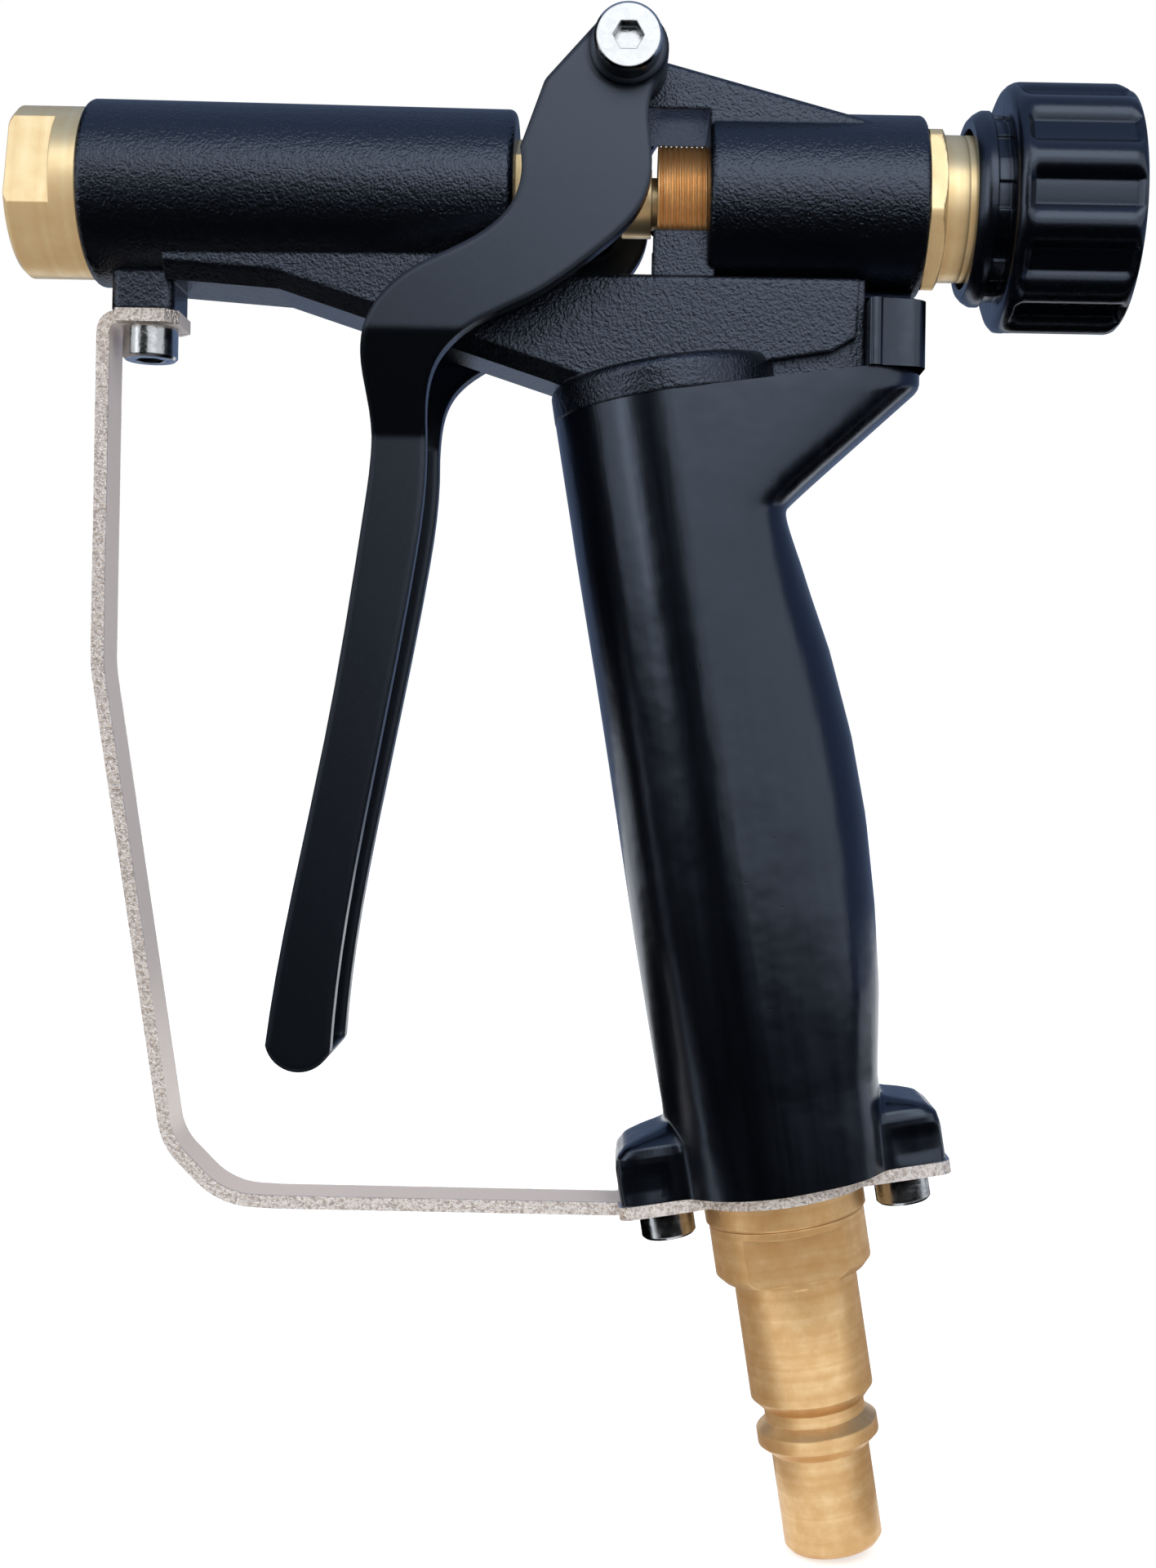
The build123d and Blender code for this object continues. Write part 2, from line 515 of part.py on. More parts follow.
def inlet_plug():
    nose, shank = PLUG_NOSE, PLUG_COLLAR
    plug = turned([(PLUG_BORE_R, 0), (PLUG_NOSE_R - 0.6, 0), (PLUG_NOSE_R, 0.8), (PLUG_NOSE_R, nose),
                   (PLUG_SHANK_R - 0.1, nose + 1.7), (PLUG_SHANK_R - 0.1, nose + 3.8),
                   (PLUG_NOSE_R + 0.2, nose + 5.2), (PLUG_NOSE_R + 0.2, nose + 7.0),
                   (PLUG_SHANK_R, nose + 9.0), (PLUG_SHANK_R, shank), (PLUG_COLLAR_R - 1, shank),
                   (PLUG_COLLAR_R, shank + 1.1), (PLUG_COLLAR_R, PLUG_TOP), (PLUG_THREAD_R, PLUG_TOP),
                   (PLUG_THREAD_R, PLUG_TOP + 16), (PLUG_BORE_R, PLUG_TOP + 16)], GRIP)
    for side in (-1, 1):
        plug -= GRIP * Pos(0, side * (PLUG_FLATS / 2 + 5), shank + 3.5) * Box(30, 10, 8.6)
    return plug


NODES = [valve_body, outlet_fitting, outlet_seal, valve_seat, valve_poppet, poppet_clip, valve_stem,
         stem_collar, gland_packing, gland_nut, closing_spring, spring_seat, spring_housing,
         adjusting_spindle, knob, knob_screw, knob_cap, pivot_bush, pivot_screws, trigger, grip,
         thread_inserts, trigger_guard, guard_front_screw, grip_screws, inlet_adapter, inlet_seal,
         inlet_plug]

for make in NODES:
    made = make()
    if isinstance(made, list):
        made = Compound(children=made)
    export_step(made, f"parts/{make.__name__}.step")
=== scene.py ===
import math

import bpy
import numpy as np
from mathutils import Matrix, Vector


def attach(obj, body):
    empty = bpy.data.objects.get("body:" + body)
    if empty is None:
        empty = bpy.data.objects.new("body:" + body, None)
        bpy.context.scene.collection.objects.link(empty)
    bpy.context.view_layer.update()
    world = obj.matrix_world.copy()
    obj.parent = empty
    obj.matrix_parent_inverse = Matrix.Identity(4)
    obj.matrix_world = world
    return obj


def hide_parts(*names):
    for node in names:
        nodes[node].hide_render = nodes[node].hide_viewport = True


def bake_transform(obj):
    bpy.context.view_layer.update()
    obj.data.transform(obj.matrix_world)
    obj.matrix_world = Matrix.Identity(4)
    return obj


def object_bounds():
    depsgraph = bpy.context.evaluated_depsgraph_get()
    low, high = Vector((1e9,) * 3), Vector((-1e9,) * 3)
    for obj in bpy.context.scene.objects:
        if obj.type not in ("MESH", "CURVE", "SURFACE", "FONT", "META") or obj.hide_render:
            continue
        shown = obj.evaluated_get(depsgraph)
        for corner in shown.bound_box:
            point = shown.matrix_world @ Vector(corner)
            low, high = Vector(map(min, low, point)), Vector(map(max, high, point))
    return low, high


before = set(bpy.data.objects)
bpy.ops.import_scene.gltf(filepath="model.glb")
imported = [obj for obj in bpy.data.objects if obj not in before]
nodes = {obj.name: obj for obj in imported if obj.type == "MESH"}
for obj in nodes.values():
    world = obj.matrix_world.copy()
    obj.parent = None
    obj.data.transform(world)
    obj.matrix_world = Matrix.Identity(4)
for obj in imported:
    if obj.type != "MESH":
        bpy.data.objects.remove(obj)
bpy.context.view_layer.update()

# ---- Inlet plug and adapter -----------------------------------------------------------------
# The plug is turned from brass bar on a lathe and screwed into a brass adapter, which clamps the
# guard's plate and the grip against the casting. Its collar has two milled flats for a wrench.

MM = 0.001
LEAN = math.radians(9.4)
GRIP_AXIS = np.array([-math.sin(LEAN), 0.0, math.cos(LEAN)])
HEAD_X, BARREL_Z = -34.5915, 208.95          # where the grip's axis crosses the barrel's


class Wire:
    """An output of a material's node, with arithmetic that adds Math nodes."""

    def __init__(self, finish, socket):
        self.finish = finish
        self.socket = socket

    def maths(self, operation, *terms):
        return self.finish.node("ShaderNodeMath", {"operation": operation}, dict(enumerate(terms)))

    def __add__(self, other):
        return self.maths("ADD", self, other)

    def __sub__(self, other):
        return self.maths("SUBTRACT", self, other)

    def __rsub__(self, other):
        return self.maths("SUBTRACT", other, self)

    def __mul__(self, other):
        return self.maths("MULTIPLY", self, other)

    def __abs__(self):
        return self.maths("ABSOLUTE", self)

    __radd__ = __add__
    __rmul__ = __mul__

    def ramp(self, low, high):
        """0 below low, 1 above high and a smooth step between."""
        settings = {"interpolation_type": "SMOOTHSTEP"}
        return self.finish.node("ShaderNodeMapRange", settings, {0: self, 1: low, 2: high})


class Finish:
    """A material with one Principled shader, whose sockets are set by name."""

    def __init__(self, name, **sockets):
        self.material = bpy.data.materials.new(name)
        self.material.use_nodes = True
        self.tree = self.material.node_tree
        self.shader = self.tree.nodes["Principled BSDF"]
        self.place = self.node("ShaderNodeTexCoord", out="Object")
        self.set(**sockets)

    def put(self, socket, value):
        if isinstance(value, Wire):
            self.tree.links.new(value.socket, socket)
        elif isinstance(value, tuple) and len(value) == 3 and socket.type == "RGBA":
            socket.default_value = (*value, 1)
        else:
            socket.default_value = value

    def node(self, kind, settings=None, inputs=None, out=0):
        node = self.tree.nodes.new(kind)
        for name, value in (settings or {}).items():
            setattr(node, name, value)
        for name, value in (inputs or {}).items():
            self.put(node.inputs[name], value)
        return Wire(self, node.outputs[out])

    def set(self, **sockets):
        for name, value in sockets.items():
            self.put(self.shader.inputs[name.replace("_", " ")], value)

    def along(self, axis):
        """Distance in millimetres along an axis through the origin."""
        direction = tuple(float(a) / MM for a in axis)
        return self.node("ShaderNodeVectorMath", {"operation": "DOT_PRODUCT"},
                         {0: self.place, 1: direction}, out="Value")

    def noise(self, per_mm, detail=2.0, rough=0.5, stretch=(1, 1, 1), turn=(0, 0, 0)):
        """Noise with so many cells per millimetre, wider along an axis by its stretch."""
        mapping = self.node("ShaderNodeMapping", {"vector_type": "TEXTURE"},
                            {"Vector": self.place, "Rotation": turn,
                             "Scale": tuple(MM * s for s in stretch)})
        return self.node("ShaderNodeTexNoise", None,
                         {"Vector": mapping, "Scale": per_mm, "Detail": detail, "Roughness": rough})

    def cells(self, per_mm):
        """Distance to the nearest of scattered points, so many per millimetre."""
        return self.node("ShaderNodeTexVoronoi", None,
                         {"Vector": self.place, "Scale": per_mm / MM})

    def mix(self, amount, low, high):
        """Colour between low and high."""
        return self.node("ShaderNodeMix", {"data_type": "RGBA"}, {0: amount, 6: low, 7: high}, out=2)

    def soft_edges(self, radius):
        """Normal of the surface with its corners rounded to a radius in millimetres."""
        return self.node("ShaderNodeBevel", {"samples": 6}, {"Radius": radius * MM})

    def bump(self, height, depth, under=None):
        """Normal of a surface raised by height, which runs from 0 to 1, times depth in millimetres."""
        inputs = {"Height": height, "Distance": depth * MM, "Strength": 1.0}
        if under:
            inputs["Normal"] = under
        return self.node("ShaderNodeBump", None, inputs)


def dress(finish, *names):
    """Gives CAD nodes a finish in place of their plain one."""
    for name in names:
        slots = nodes[name].data.materials
        slots.clear()
        slots.append(finish.material)


def turned_brass(name, axis, colour, dark, stain):
    """Brass with the rings of a lathe tool round an axis, and faint stains."""
    brass = Finish(name, Metallic=0.8)
    along = brass.along(axis)
    rings = brass.node("ShaderNodeTexNoise", {"noise_dimensions": "1D"},
                       {"W": along, "Scale": 9.0, "Detail": 3.0})
    bands = brass.node("ShaderNodeTexNoise", {"noise_dimensions": "1D"},
                       {"W": along, "Scale": 0.6, "Detail": 2.0})
    cloud = brass.noise(0.35, 4.0, 0.6)
    tone = (cloud * stain + bands * 0.4).ramp(0.15, 0.75)
    brass.set(Base_Color=brass.mix(tone, colour, dark), Roughness=0.27 + bands * 0.1 + cloud * 0.1,
              Normal=brass.bump(rings, 0.014, brass.soft_edges(0.3)))
    return brass


plug_brass = turned_brass("plug_brass", GRIP_AXIS, (0.86, 0.63, 0.34), (0.66, 0.40, 0.17), 0.7)
dress(plug_brass, "inlet_plug", "inlet_adapter", "thread_inserts")

# ---- Seals ----------------------------------------------------------------------------------
# Moulded rubber rings and the poppet's rubber, dull black.

rubber = Finish("seal_rubber", Base_Color=(0.012, 0.012, 0.013))
rubber.set(Roughness=0.55 + rubber.noise(2.0) * 0.2, Normal=rubber.bump(rubber.noise(6.0), 0.01))
dress(rubber, "inlet_seal", "outlet_seal", "valve_poppet", "gland_packing")

# ---- Guard ----------------------------------------------------------------------------------
# One nickel-plated steel strip, sheared from sheet and bent on edge. Its broad faces are smooth and
# warm grey; its sheared edges are rough and catch the light.

strip = Finish("nickel_strip")
across = abs(strip.node("ShaderNodeSeparateXYZ", None, {0: strip.place}, out="Y"))
edge = across.ramp(3.7 * MM, 3.95 * MM)
drawn = strip.noise(1.2, 3.0, 0.6)
torn = strip.noise(1.7, 3.0, 0.65)
strip.set(Base_Color=strip.mix(edge, (0.88, 0.75, 0.66), strip.mix(torn.ramp(0.36, 0.54), (0.64, 0.58, 0.55),
                                                                   (1.0, 0.97, 0.95))),
          Metallic=edge, Roughness=0.26 + drawn * 0.14,
          Normal=strip.bump(torn * (0.03 + edge * 0.97), 0.7))
dress(strip, "trigger_guard")

# ---- Grip -----------------------------------------------------------------------------------
# Moulded glossy black plastic that slides over the casting's core from below: a half-round front,
# flat flanks, two ears for the screws at its foot and a flare that ends in an upright rear block.


def skin(name, points, closed=True):
    """Smooth mesh of a grid of points in millimetres; closed joins each row's end to its start."""
    rows, columns = points.shape[:2]
    index = np.arange(rows * columns).reshape(rows, columns)
    if closed:
        index = np.concatenate([index, index[:, :1]], axis=1)
    quads = np.stack([index[:-1, :-1], index[:-1, 1:], index[1:, 1:], index[1:, :-1]], axis=-1)
    mesh = bpy.data.meshes.new(name)
    mesh.from_pydata((points.reshape(-1, 3) * MM).tolist(), [], quads.reshape(-1, 4).tolist())
    mesh.shade_smooth()
    piece = bpy.data.objects.new(name, mesh)
    bpy.context.scene.collection.objects.link(piece)
    return piece


def joined(name, parts, corner):
    """One object of several skins. Edges that turn by more than the corner, in degrees, stay sharp."""
    with bpy.context.temp_override(active_object=parts[0], selected_editable_objects=parts):
        bpy.ops.object.join()
    whole = parts[0]
    whole.name = name
    whole.data.name = name
    whole.data.set_sharp_from_angle(angle=math.radians(corner))
    return whole


def smooth_max(one, other, width):
    """The greater of two values; where they cross, the corner is filled over about the width."""
    return 0.5 * (one + other + np.sqrt((one - other) ** 2 + width ** 2)) - width * 0.06


def on_grip(across, y, along):
    """Points given in millimetres across and along the grip's axis."""
    return np.stack([across * math.cos(LEAN) - along * math.sin(LEAN), y + 0 * across,
                     across * math.sin(LEAN) + along * math.cos(LEAN)], axis=-1)


FOOT, CROWN = 58.2, 179.3                    # heights along the axis
FLANK = 0.15                                 # how fast the flanks close toward the rear
BORE_R = 13.55                               # bore over the casting's core
HALF = 17.7                                  # half the width at the flare
BLOCK_FRONT, BLOCK_REAR = 35.2, 44.0         # ends of the rear block, from the head's middle
BLOCK_ROUND = 41.9                           # where its rear corners start to turn in
BLOCK_TOP = BARREL_Z - 16.75


def grip_radius(turn, along):
    """Distance from the axis. With c and s the cosine and sine of the turn from the rear, the front
    half is round, r = front. Behind, 1 = (r c / rear)^p + (r (|s| + 0.15 c) / half)^p, a rounded
    box whose flanks close toward the rear. The ears are boxes of the same form."""
    height = np.array([58.2, 72.6, 85.5, 98.4, 111.5, 124.5, 138, 151.5, 158.5, 163, 190])
    handle = np.interp(along, height, [16.6, 17.4, 19.6, 20.8, 21.4, 21.0, 19.5, 16.9, 15.2, 14.0, 8])
    front = np.interp(along, height, [16.6, 16.8, 17.1, 17.3, 17.3, 17.3, 17.4, 17.6, 17.7, 17.7, 17.9])
    flare = 13.0 + 1.544 * (along - 159.3)
    limit = (HEAD_X + BLOCK_REAR + 0.3 + along * math.sin(LEAN)) / math.cos(LEAN)
    rear = smooth_max(handle, np.minimum(flare, limit), 2.2)
    half = front - 0.1
    rise = np.clip((along - 146) / 26, 0, 1)
    power = 3.4 + 2.8 * rise ** 2 * (3 - 2 * rise)
    c, s = np.cos(turn), np.abs(np.sin(turn))
    behind = np.maximum(c, 0)
    box = ((behind / rear) ** power + ((s + FLANK * behind) / half) ** power) ** (-1 / power)
    body = np.where(c < 0, front - 0.1 * s ** 4, box)
    rise = along - FOOT
    reach = np.interp(rise, [0, 5.6, 7.4, 8.8, 9.7, 10.4, 11.2, 16],
                      [25.3, 25.3, 24.9, 23.4, 20.8, 18, 15, 4])
    depth = np.interp(rise, [0, 7.2, 8.4, 9.4, 10.6, 12.0], [8.5, 8.4, 8.1, 7.3, 5.8, 4.0])
    panel = np.exp(-((np.abs(rise - 3.2) / 2.3) ** 8)) * np.exp(-((np.abs(c) - 0.93) / 0.028) ** 8)
    depth = depth - 0.3 * panel
    ear = ((np.abs(c) / reach) ** 12 + (s / depth) ** 12) ** (-1 / 12)
    return np.where(rise < 16, smooth_max(body, ear, 1.6), body)


rows = np.concatenate([np.arange(0, 6, 0.75), np.arange(6, 14, 0.3), np.arange(14, 98, 2.0),
                       np.arange(98, CROWN - FOOT, 0.6), [CROWN - FOOT]]) + FOOT
turn, along = np.meshgrid(np.linspace(-math.pi, math.pi, 320, endpoint=False), rows)
radius = grip_radius(turn, along)
side = skin("grip_side", on_grip(radius * np.cos(turn), radius * np.sin(turn), along))
ends = []
for end in (0, -1):
    rim = np.stack([radius[end], np.full_like(radius[end], BORE_R)])
    around = np.stack([turn[end]] * 2)
    ends.append(skin("grip_end", on_grip(rim * np.cos(around), rim * np.sin(around), along[end, 0])))


def block_outline(z):
    """Plan of the rear block at a height: rounded corners, and a rib down each side's front edge."""
    quarter, half_turn = np.linspace(0, math.pi / 2, 7), np.linspace(0, math.pi, 9)
    x = np.concatenate([[BLOCK_FRONT, BLOCK_FRONT], BLOCK_FRONT + 1.0 - np.cos(half_turn) * 0.8,
                        [37.3, 41.4], BLOCK_ROUND + np.sin(quarter) * (BLOCK_REAR - BLOCK_ROUND)])
    raised = np.concatenate([[-30, 0], 0.1 + np.sin(half_turn) * 0.35, [0, 0],
                             (np.cos(quarter) - 1) * 1.9])
    across = (HEAD_X + x) * math.cos(LEAN) + z * math.sin(LEAN)
    y = np.maximum(HALF - FLANK * across + raised, 0)
    return np.stack([np.concatenate([HEAD_X + x, (HEAD_X + x)[::-1]]), np.concatenate([-y, y[::-1]]),
                     np.full(2 * len(x), z)], axis=-1)


block = np.stack([block_outline(BLOCK_TOP - depth) for depth in (10.25, 0.4, 0.1, 0)])
middle = block[-1].mean(axis=0)
block[-1, :, :2] = middle[:2] + (block[-1, :, :2] - middle[:2]) * 0.975
lid = np.stack([block[-1], middle + (block[-1] - middle) * 0.02])
y = np.linspace(-8, 8, 17)
crest = BLOCK_TOP + 2.4 * (1 - (y / 8) ** 2)               # a low saddle under the barrel
base = 0 * y + BLOCK_TOP - 0.25
saddle = np.stack([np.stack([np.full(17, HEAD_X + x), y, z], axis=-1)
                   for x, z in ((BLOCK_FRONT, base), (BLOCK_FRONT, crest), (43.2, crest), (43.2, base))])
grip = joined("grip_shell", [side, *ends, skin("grip_block", block), skin("grip_lid", lid),
                             skin("grip_saddle", saddle, closed=False)], 50)
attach(grip, "body")
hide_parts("grip")

gloss = Finish("grip_plastic", Base_Color=(0.0009, 0.0012, 0.0024))
flow = gloss.noise(0.5, 3.0, 0.55, stretch=(1, 1, 12), turn=(0, -LEAN, 0))
speck = gloss.cells(0.35)
pit = 1 - speck.ramp(0.03, 0.09)
gloss.set(Specular_IOR_Level=1.0, Specular_Tint=(0.60, 0.73, 0.96), Roughness=0.16 + flow * 0.16,
          Normal=gloss.bump(flow * 0.6 + gloss.noise(0.12, 2.0) * 3 - pit * 0.12, 0.05))
grip.data.materials.append(gloss.material)

# ---- Valve body -----------------------------------------------------------------------------
# One aluminium casting, machined where parts screw in and powder coated black. The coat has the
# coarse orange-peel grain of a thick layer.

coat = Finish("powder_coat", Base_Color=(0.0008, 0.001, 0.002))
grain = coat.noise(2.4, 1.0, 0.5)
peel = coat.noise(1.1, 1.0, 0.5)
coat.set(Specular_IOR_Level=1.0, Specular_Tint=(0.62, 0.74, 0.98), Roughness=0.26 + grain * 0.1,
         Normal=coat.bump(grain * 0.8 + peel * 0.5, 0.16, coat.soft_edges(0.7)))
dress(coat, "valve_body")

# ---- Valve ----------------------------------------------------------------------------------
# A steel stem with a brass collar that the trigger pushes, closed by a coil spring.

barrel_brass = turned_brass("barrel_brass", (1, 0, 0), (0.95, 0.80, 0.50), (0.84, 0.62, 0.32), 0.5)
dress(barrel_brass, "outlet_fitting", "gland_nut", "stem_collar", "valve_seat", "spring_seat")

steel = Finish("bright_steel", Base_Color=(0.72, 0.72, 0.73), Metallic=1.0)
steel.set(Roughness=0.22 + steel.noise(1.5) * 0.12)
dress(steel, "valve_stem", "adjusting_spindle", "pivot_bush", "poppet_clip")

# ---- Closing spring -------------------------------------------------------------------------
# Steel wire wound round the stem between the collar and the spring seat. The real spring shortens from both
# ends; here it is two lengths that meet in the casting's frame, and neither rides on the stem or the
# carriage.


def coil(name, first, last):
    """Wire of radius 0.6 wound at 4.6 round the barrel's axis, one turn in 3.2, between two distances."""
    x = np.linspace(first, last, 160)[:, None]
    turn = np.linspace(0, 2 * math.pi, 12, endpoint=False)[None, :]
    around = 2 * math.pi * x / 3.2
    radius = 4.6 + 0.6 * np.cos(turn)
    return skin(name, np.stack([HEAD_X + x + 0.6 * np.sin(turn), radius * np.cos(around),
                                BARREL_Z + radius * np.sin(around)], axis=-1))


COLLAR_FACE, MEETING, SEAT_FACE = 2.7, 19.6, 30.0        # from the head's middle
for name, moving, ends in (("spring_front", "stem", (COLLAR_FACE, MEETING)),
                           ("spring_rear", "carriage", (SEAT_FACE, MEETING))):
    wire = coil(name, *ends)
    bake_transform(wire)
    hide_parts("closing_spring")
    wire.data.materials.append(steel.material)

# ---- Spring housing -------------------------------------------------------------------------
# Turned from brass hexagon bar: a sleeve with a fine thread that screws into the casting, a
# hexagon for a wrench, and a round boss that the knob turns on.


SLEEVE_START, THREAD_END, HEX_END, BOSS_END = 3.0, 13.0, 46.8, 58.6
THREAD_PITCH = 0.8
HEX_HALF = 12.0                              # half the hexagon's width over its flats
COLUMNS = 240


def housing_radius(turn, x):
    """Distance from the barrel's axis: r = 8.95 - 0.42 tooth(x / 0.8 - turn / 2 pi) along the thread,
    the hexagon's 12 / cos(turn mod 60 degrees) cut by a cone at its corners, then the boss."""
    phase = (x / THREAD_PITCH - turn / (2 * math.pi)) % 1.0
    tooth = np.clip(2.4 * np.abs(phase - 0.5) - 0.2, 0, 1)
    thread = 8.95 - 0.42 * tooth * np.clip((x - SLEEVE_START) / 0.4, 0.3, 1)
    sixth = (turn - math.radians(17)) % (math.pi / 3) - math.pi / 6
    cone = HEX_HALF + 1.5 * np.clip((HEX_END - x) / 0.8, 0, 1)
    hexagon = np.minimum(HEX_HALF / np.cos(sixth), cone)
    boss = 11.2 - 0.5 * np.clip((x - 58.1) / 0.5, 0, 1) - 0.12 * np.exp(-((x - 50.4) / 0.25) ** 2)
    sleeve = np.where(x < THREAD_END, thread, 8.9)
    return np.select([x < 44.1, x < HEX_END + 0.01], [sleeve, hexagon], boss)


def round_barrel(radius, turn, x):
    """Points given round the barrel's axis, x from the head's middle."""
    return np.stack([HEAD_X + x + 0 * radius, radius * np.cos(turn), BARREL_Z + radius * np.sin(turn)],
                    axis=-1)


sleeve_x = np.concatenate([[SLEEVE_START], np.arange(SLEEVE_START, 12.6, 0.1), [THREAD_END]])
rear_x = np.array([THREAD_END, 20, 44.09, 44.1, 44.5, 45.3, 46.0, 46.2, 46.4, 46.6, HEX_END,
                   HEX_END + 0.02, 48, 50, 50.2, 50.4, 50.6, 50.8, 54, 58.1, BOSS_END])
# The thread sits in the casting's window, so it gets a darker, warmer copy of the brass on the hexagon and
# boss: painted shade of the recess it sits in.
shaded_thread_brass = turned_brass("shaded_thread_brass", (1, 0, 0), (0.95, 0.64, 0.32), (0.74, 0.42, 0.17), 0.7)
parts = []
for name, stations, brass in (("thread", sleeve_x, shaded_thread_brass), ("rear", rear_x, barrel_brass)):
    turn, x = np.meshgrid(np.linspace(0, 2 * math.pi, COLUMNS, endpoint=False), stations)
    radius = housing_radius(turn, x)
    parts.append(skin(f"housing_{name}", round_barrel(radius, turn, x)))
    if name == "thread":
        wall = np.full(COLUMNS, 6.6)
        bore = np.stack([radius[0], wall, wall])
        bore_x = np.array([SLEEVE_START, SLEEVE_START, 16.0])[:, None]
        parts.append(skin("housing_bore", round_barrel(bore, turn[:3], bore_x)))
    else:
        mouth = np.stack([radius[-1], np.full(COLUMNS, 4.93)])
        parts.append(skin("housing_mouth", round_barrel(mouth, turn[:2], BOSS_END)))
    for part in parts[-2:]:
        part.data.materials.append(brass.material)
housing = joined("housing_shell", parts, 35)
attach(housing, "body")
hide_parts("spring_housing")

# ---- Knob -----------------------------------------------------------------------------------
# Moulded semi-gloss black plastic with eleven flutes, held on the brass spindle by a screw under
# a press-in cap.

knob_plastic = Finish("knob_plastic", Base_Color=(0.001, 0.0013, 0.0026))
fine = knob_plastic.noise(3.0, 2.0)
knob_plastic.set(Specular_IOR_Level=1.0, Specular_Tint=(0.60, 0.73, 0.96), Roughness=0.2 + fine * 0.1,
                 Normal=knob_plastic.bump(fine, 0.012, knob_plastic.soft_edges(0.5)))
dress(knob_plastic, "knob_cap")


KNOB_R, KNOB_END = 19.25, 75.6
FLUTES = 11
FLUTE_DEPTH, RIB_R = 1.7, 4.4                # the ribs are round, of their own radius


def knob_radius(turn, x, radius):
    """Distance from the barrel's axis: the turned outline's radius less min(1.7, 4.4 - (4.4^2 - w^2)^0.5),
    where w is the distance from a rib's middle. The flutes' ends slope down over 1.3, and the ring
    behind the neck has flats 0.45 deep."""
    pitch = 2 * math.pi / FLUTES
    local = (turn - math.radians(185.8)) % pitch - pitch / 2         # 0 at a rib's middle
    w = np.abs(KNOB_R * np.sin(local))
    groove = np.minimum(FLUTE_DEPTH, RIB_R - np.sqrt(RIB_R ** 2 - np.minimum(w, 3.6) ** 2))
    ends = np.clip((x - 57.5) / 1.3, 0, 1) * np.clip((75.2 - x) / 1.3, 0, 1)
    facets = np.where((x > 53.95) & (x < 56.05), 0.45 * (np.abs(local) > pitch / 4), 0)
    return radius - np.where(radius > 14.1, ends * groove + facets, 0)


outline = np.array([(4.2, 64.6), (12.2, 64.6), (12.2, 51.1), (13.6, 51.1), (14.3, 51.75), (14.8, 52.6),
                    (14.9, 52.9), (14.9, 53.88), (14.4, 53.92), (14.2, 54.0), (14.2, 56.0), (14.2, 56.1),
                    (17.35, 56.1),
                    (18.2, 56.45), (18.75, 57.0), (19.1, 57.7), (KNOB_R, 58.5)]
                   + [(KNOB_R, x) for x in np.linspace(58.8, 73.4, 12)]
                   + [(19.15, 73.9), (18.95, 74.4), (18.65, 74.9), (18.2, 75.3), (17.25, KNOB_END),
                      (8.1, KNOB_END), (8.1, 71.1), (4.2, 71.1), (4.2, 64.6)])
columns = 48 * FLUTES
turn, x = np.meshgrid(np.linspace(0, 2 * math.pi, columns, endpoint=False), outline[:, 1])
radius = knob_radius(turn, x, outline[:, :1])
knob = joined("knob_shell", [skin("knob_side", round_barrel(radius, turn, x))], 40)
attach(knob, "knob")
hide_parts("knob")
knob.data.materials.append(knob_plastic.material)

# ---- Trigger --------------------------------------------------------------------------------
# Die-cast lever with a thin satin black coat; two arms straddle the barrel.

satin = Finish("satin_coat", Base_Color=(0.001, 0.0014, 0.0026))
dust = satin.noise(5.0, 3.0, 0.6)
satin.set(Specular_IOR_Level=1.0, Specular_Tint=(0.62, 0.74, 0.96), Roughness=0.26 + dust * 0.12,
          Normal=satin.bump(dust + satin.noise(0.15, 2.0) * 2, 0.012, satin.soft_edges(1.4)))
dress(satin, "trigger")

# ---- Screws ---------------------------------------------------------------------------------
# Bright zinc-plated socket screws.

zinc = Finish("zinc_plate", Metallic=1.0)
haze = zinc.noise(0.5, 4.0, 0.65).ramp(0.3, 0.75)
zinc.set(Base_Color=zinc.mix(haze, (0.42, 0.44, 0.46), (0.54, 0.56, 0.58)), Roughness=0.14 + haze * 0.12,
         Normal=zinc.bump(haze, 0.02, zinc.soft_edges(0.25)))
dress(zinc, "pivot_screws", "grip_screws", "guard_front_screw", "knob_screw")

# ---- Studio ---------------------------------------------------------------------------------
# A pale floor, two soft lamps at the front, and cards of an even tone round the part that darken
# what its black and metal surfaces reflect. The camera looks at its side.

low_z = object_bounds()[0][2]


def studio_floor(half, height):
    """A flat square of so many metres each way from the middle."""
    corners = [(-half, -half, height), (half, -half, height), (half, half, height), (-half, half, height)]
    mesh = bpy.data.meshes.new("studio_floor")
    mesh.from_pydata(corners, [], [(0, 1, 2, 3)])
    floor = bpy.data.objects.new("studio_floor", mesh)
    bpy.context.scene.collection.objects.link(floor)
    return floor


floor_paint = Finish("floor_paint", Base_Color=(0.75, 0.75, 0.75), Roughness=0.9)
ray = [floor_paint.node("ShaderNodeLightPath", out=f"Is {kind} Ray")
       for kind in ("Camera", "Glossy", "Transmission")]
white = floor_paint.node("ShaderNodeBsdfDiffuse", None, {"Color": (0.8, 0.8, 0.8)})
lift = floor_paint.node("ShaderNodeEmission", None, {"Color": (1.0, 1.0, 1.0), "Strength": 0.55})
pale = floor_paint.node("ShaderNodeAddShader", None, {0: white, 1: lift})
both = floor_paint.node("ShaderNodeMixShader", None,
                        {0: ray[0] + ray[1] + ray[2],
                         1: Wire(floor_paint, floor_paint.shader.outputs[0]), 2: pale})
floor_paint.put(floor_paint.tree.nodes["Material Output"].inputs["Surface"], both)
floor = studio_floor(3.0, low_z - 0.0002)
floor.data.materials.append(floor_paint.material)


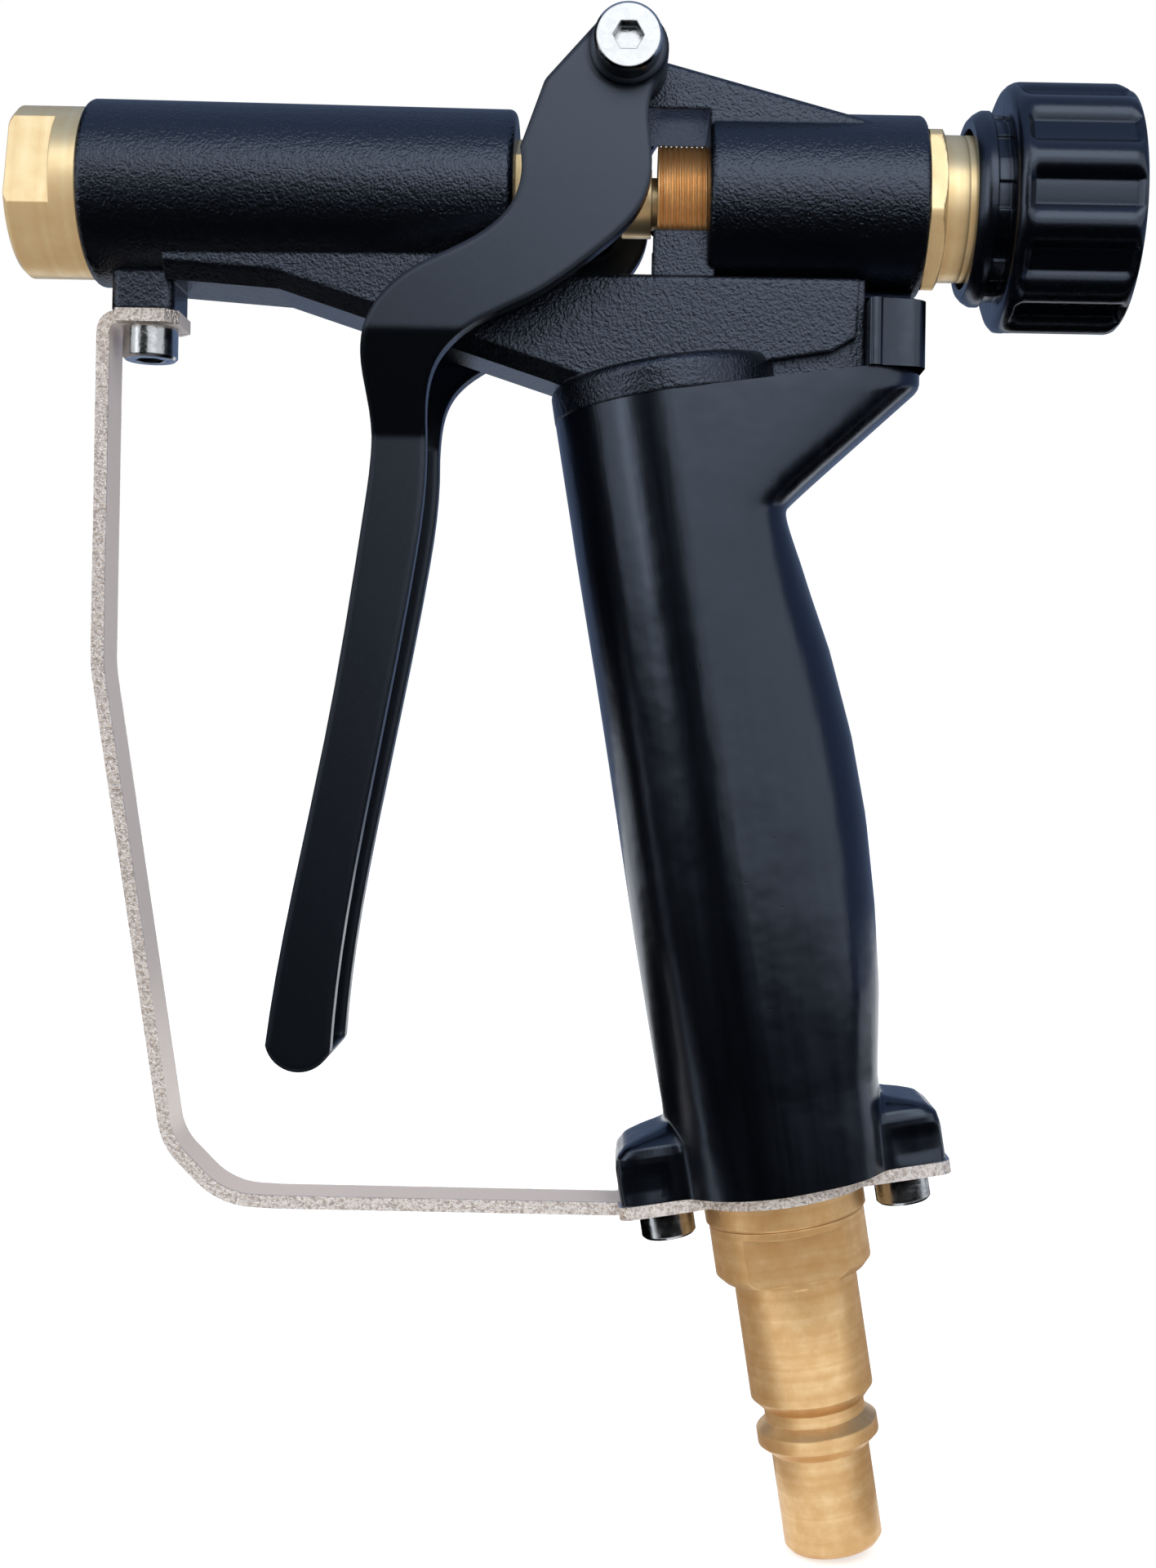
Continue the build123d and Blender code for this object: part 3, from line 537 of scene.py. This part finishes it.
def softbox(name, place, aim, size, power):
    """A rectangular lamp at a place, aimed at a point."""
    lamp = bpy.data.lights.new(name, "AREA")
    lamp.shape = "RECTANGLE"
    lamp.size, lamp.size_y = size
    lamp.energy = power
    box = bpy.data.objects.new(name, lamp)
    bpy.context.scene.collection.objects.link(box)
    box.location = place
    direction = np.array(aim) - np.array(place)
    yaw = math.atan2(direction[1], direction[0]) - math.pi / 2
    pitch = math.atan2(direction[2], math.hypot(direction[0], direction[1])) + math.pi / 2
    box.rotation_euler = (pitch, 0, yaw)


metals = bpy.data.collections.new("metal_parts")
for name in ("inlet_plug", "inlet_adapter", "outlet_fitting", "gland_nut", "stem_collar", "trigger_guard"):
    metals.objects.link(nodes[name])
metals.objects.link(housing)


def card(name, corners, tone, only=None):
    """A studio card of an even tone that shows in reflections; with only, it is black but to those."""
    mesh = bpy.data.meshes.new(name)
    mesh.from_pydata(corners, [], [(0, 1, 2, 3)])
    sheet = bpy.data.objects.new(name, mesh)
    bpy.context.scene.collection.objects.link(sheet)
    paint = bpy.data.materials.new(name)
    paint.use_nodes = True
    nodes_of = paint.node_tree.nodes
    glow = nodes_of.new("ShaderNodeEmission")
    glow.inputs["Color"].default_value = (*tone, 1)
    paint.node_tree.links.new(glow.outputs[0], nodes_of["Material Output"].inputs["Surface"])
    mesh.materials.append(paint)
    sheet.visible_camera = sheet.visible_diffuse = sheet.visible_shadow = False
    sheet.light_linking.receiver_collection = only


def level(x0, x1, y0, y1, z):
    """Corners of a level rectangle."""
    return [(x0, y0, z), (x1, y0, z), (x1, y1, z), (x0, y1, z)]


def upright(x0, y0, x1, y1, z0, z1):
    """Corners of an upright rectangle between two points on plan."""
    return [(x0, y0, z0), (x1, y1, z0), (x1, y1, z1), (x0, y0, z1)]


warm, tan = (0.42, 0.34, 0.27), (0.50, 0.45, 0.40)
dim, sky = (0.16, 0.22, 0.36), (0.22, 0.30, 0.46)
card("front_apron", level(-0.9, 0.9, -1.4, -0.03, 0.03), warm, metals)
card("floor_card", level(-0.5, -0.025, -0.03, 0.30, 0.0), warm, metals)
card("floor_card_rear", level(-0.025, 0.02, 0.02, 0.30, 0.0), warm, metals)
card("floor_card_right", level(0.02, 0.5, -0.03, 0.30, 0.0), warm, metals)
card("left_screen", upright(-0.42, -0.50, -0.10, -0.52, 0.056, 0.36), warm, metals)
card("left_wall", upright(-0.48, -0.12, -0.42, 0.34, 0.056, 0.75), tan, metals)
card("back_wall", upright(-0.42, 0.34, 0.36, 0.34, 0.062, 0.75), dim)
card("right_wall", upright(0.36, 0.34, 0.42, -0.15, 0.062, 0.75), dim)
card("ceiling", level(-0.8, 0.8, -0.47, 0.36, 0.76), sky)

part_middle = (-0.045, 0.0, 0.12)
softbox("front_box", (0.10, -0.85, 0.75), part_middle, (0.9, 0.7), 2.2)
softbox("left_box", (-0.75, -0.60, 0.35), part_middle, (0.18, 0.8), 0.6)

world = bpy.data.worlds.new("studio_air")
bpy.context.scene.world = world
world.use_nodes = True
air = world.node_tree
backdrop = air.nodes["Background"]
path = air.nodes.new("ShaderNodeLightPath")
shown = path.outputs["Is Camera Ray"]
for kind in ("Is Glossy Ray", "Is Transmission Ray"):
    either = air.nodes.new("ShaderNodeMath")
    either.operation = "MAXIMUM"
    air.links.new(shown, either.inputs[0])
    air.links.new(path.outputs[kind], either.inputs[1])
    shown = either.outputs[0]
eye = air.nodes.new("ShaderNodeMix")
eye.data_type = "RGBA"
eye.inputs[6].default_value = (0.80, 0.83, 0.88, 1)
eye.inputs[7].default_value = (1, 1, 1, 1)
air.links.new(shown, eye.inputs[0])
air.links.new(eye.outputs[2], backdrop.inputs["Color"])

camera = bpy.data.objects.new("camera", bpy.data.cameras.new("camera"))
bpy.context.scene.collection.objects.link(camera)
bpy.context.scene.camera = camera
camera.location = (-0.0358, -0.300, 0.1256)
camera.rotation_euler = (math.radians(90), math.radians(-1.05), 0)
camera.data.sensor_fit = "VERTICAL"
camera.data.sensor_height = 24.0
camera.data.sensor_width = 24.0
camera.data.lens = 29.25
camera.data.shift_x = -0.0271
camera.data.shift_y = -0.0313
camera.data.clip_start = 0.01
bpy.context.scene.view_settings.view_transform = "Standard"
